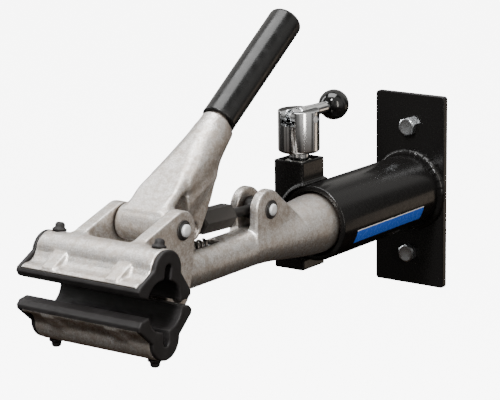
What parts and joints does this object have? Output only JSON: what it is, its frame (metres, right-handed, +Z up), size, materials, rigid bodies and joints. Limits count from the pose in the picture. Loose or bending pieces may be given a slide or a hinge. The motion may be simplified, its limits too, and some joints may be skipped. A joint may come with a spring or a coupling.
{
  "type": "bike repair stand",
  "caption": "Wall-mounted bicycle repair stand: socket with a cam-lever lock holding a turning cast arm that ends in a toggle clamp with rubber-lined jaws.",
  "frame": {"origin": "centre of the wall plate's back face, on the axis of the socket tube", "axes": "+X along the wall, +Y into the wall along the socket tube, +Z up; the arm reaches out along -Y"},
  "size_m": [0.116, 0.4612, 0.2704],
  "materials": {
    "black_paint": "gloss powder coat",
    "cast_aluminium": "tumbled raw casting, satin",
    "bright_zinc": "bright zinc plate",
    "chrome": "bright plated",
    "pin_steel": "turned, zinc plated",
    "black_steel": "black oxide, satin",
    "rubber": "matt moulded rubber",
    "vinyl": "dipped vinyl, semi-gloss",
    "ball_plastic": "polished black",
    "bush_plastic": "matt",
    "washer_nylon": "natural nylon",
    "spring_steel": "oiled wire"
  },
  "bodies": {
    "wall_mount": {"wall_plate": "black_paint", "lag_bolt_upper": "bright_zinc", "lag_bolt_lower": "bright_zinc", "socket_tube": "black_paint", "plate_weld": "black_paint", "lock_housing": "black_paint", "shaft_bush_front": "bush_plastic", "shaft_bush_rear": "bush_plastic", "thrust_washer": "washer_nylon"},
    "upper_brake": {"upper_brake_shoe": "black_steel"},
    "lower_brake": {"lower_brake_shoe": "black_steel", "draw_bolt": "pin_steel"},
    "cam_body": {"cam_barrel": "chrome", "cam_pin": "pin_steel"},
    "cam_lever": {"lever_rod": "chrome", "lever_ball": "ball_plastic"},
    "arm": {"clamp_arm": "cast_aluminium", "lower_jaw_cover": "rubber", "rear_link_pin": "pin_steel", "rear_pin_ring_right": "black_steel", "rear_pin_ring_left": "black_steel", "jaw_hinge_pin": "pin_steel", "jaw_pin_ring_right": "black_steel", "jaw_pin_ring_left": "black_steel", "return_spring": "spring_steel", "spring_anchor_pin": "pin_steel"},
    "jaw": {"upper_jaw": "cast_aluminium", "upper_jaw_cover": "rubber", "handle_pin": "pin_steel", "handle_pin_ring_right": "black_steel", "handle_pin_ring_left": "black_steel", "spring_hook_pin": "pin_steel"},
    "handle_body": {"handle": "cast_aluminium", "grip": "vinyl", "link_front_pin": "pin_steel"},
    "link": {"front_eye": "black_steel", "rear_eye": "black_steel"},
    "adjuster": {"turnbuckle": "black_steel"}
  },
  "joints": [
    {"name": "arm_turn", "type": "hinge", "parent": "wall_mount", "child": "arm", "pos_m": [0, -0.1, 0], "axis": [0, 1, 0], "continuous": true},
    {"name": "barrel_turn", "type": "hinge", "parent": "wall_mount", "child": "cam_body", "pos_m": [-0.0248, -0.1415, 0.06], "axis": [0, 0, 1], "continuous": true},
    {"name": "lever_swing", "type": "hinge", "parent": "cam_body", "child": "cam_lever", "pos_m": [-0.0248, -0.1415, 0.0845], "axis": [1, 0, 0], "range_deg": [0, 95]},
    {"name": "lower_shoe_slide", "type": "slide", "parent": "wall_mount", "child": "lower_brake", "axis": [0, 0, 1], "range_m": [-0.0012, 0]},
    {"name": "upper_shoe_slide", "type": "slide", "parent": "wall_mount", "child": "upper_brake", "axis": [0, 0, 1], "range_m": [0, 0.0012]},
    {"name": "jaw_open", "type": "hinge", "parent": "arm", "child": "jaw", "pos_m": [0, -0.384, -0.002], "axis": [1, 0, 0], "range_deg": [-8, 0]},
    {"name": "handle_swing", "type": "hinge", "parent": "jaw", "child": "handle_body", "pos_m": [0, -0.3765, 0.044], "axis": [1, 0, 0], "range_deg": [0, 45]},
    {"name": "link_swing", "type": "hinge", "parent": "handle_body", "child": "link", "pos_m": [0, -0.33853, 0.03391], "axis": [1, 0, 0], "range_deg": [-51, 0]},
    {"name": "adjuster_turn", "type": "hinge", "parent": "link", "child": "adjuster", "pos_m": [0, -0.3, 0.03224], "axis": [0, 0.9991, -0.0434], "continuous": true}
  ],
  "couplings": [
    {"joint": "jaw_open", "follows": "handle_swing", "ratio": -0.176},
    {"joint": "link_swing", "follows": "handle_swing", "ratio": -1.13},
    {"joint": "lower_shoe_slide", "follows": "lever_swing", "m_per_rad": -0.000663},
    {"joint": "upper_shoe_slide", "follows": "lever_swing", "m_per_rad": 0.000663}
  ]
}
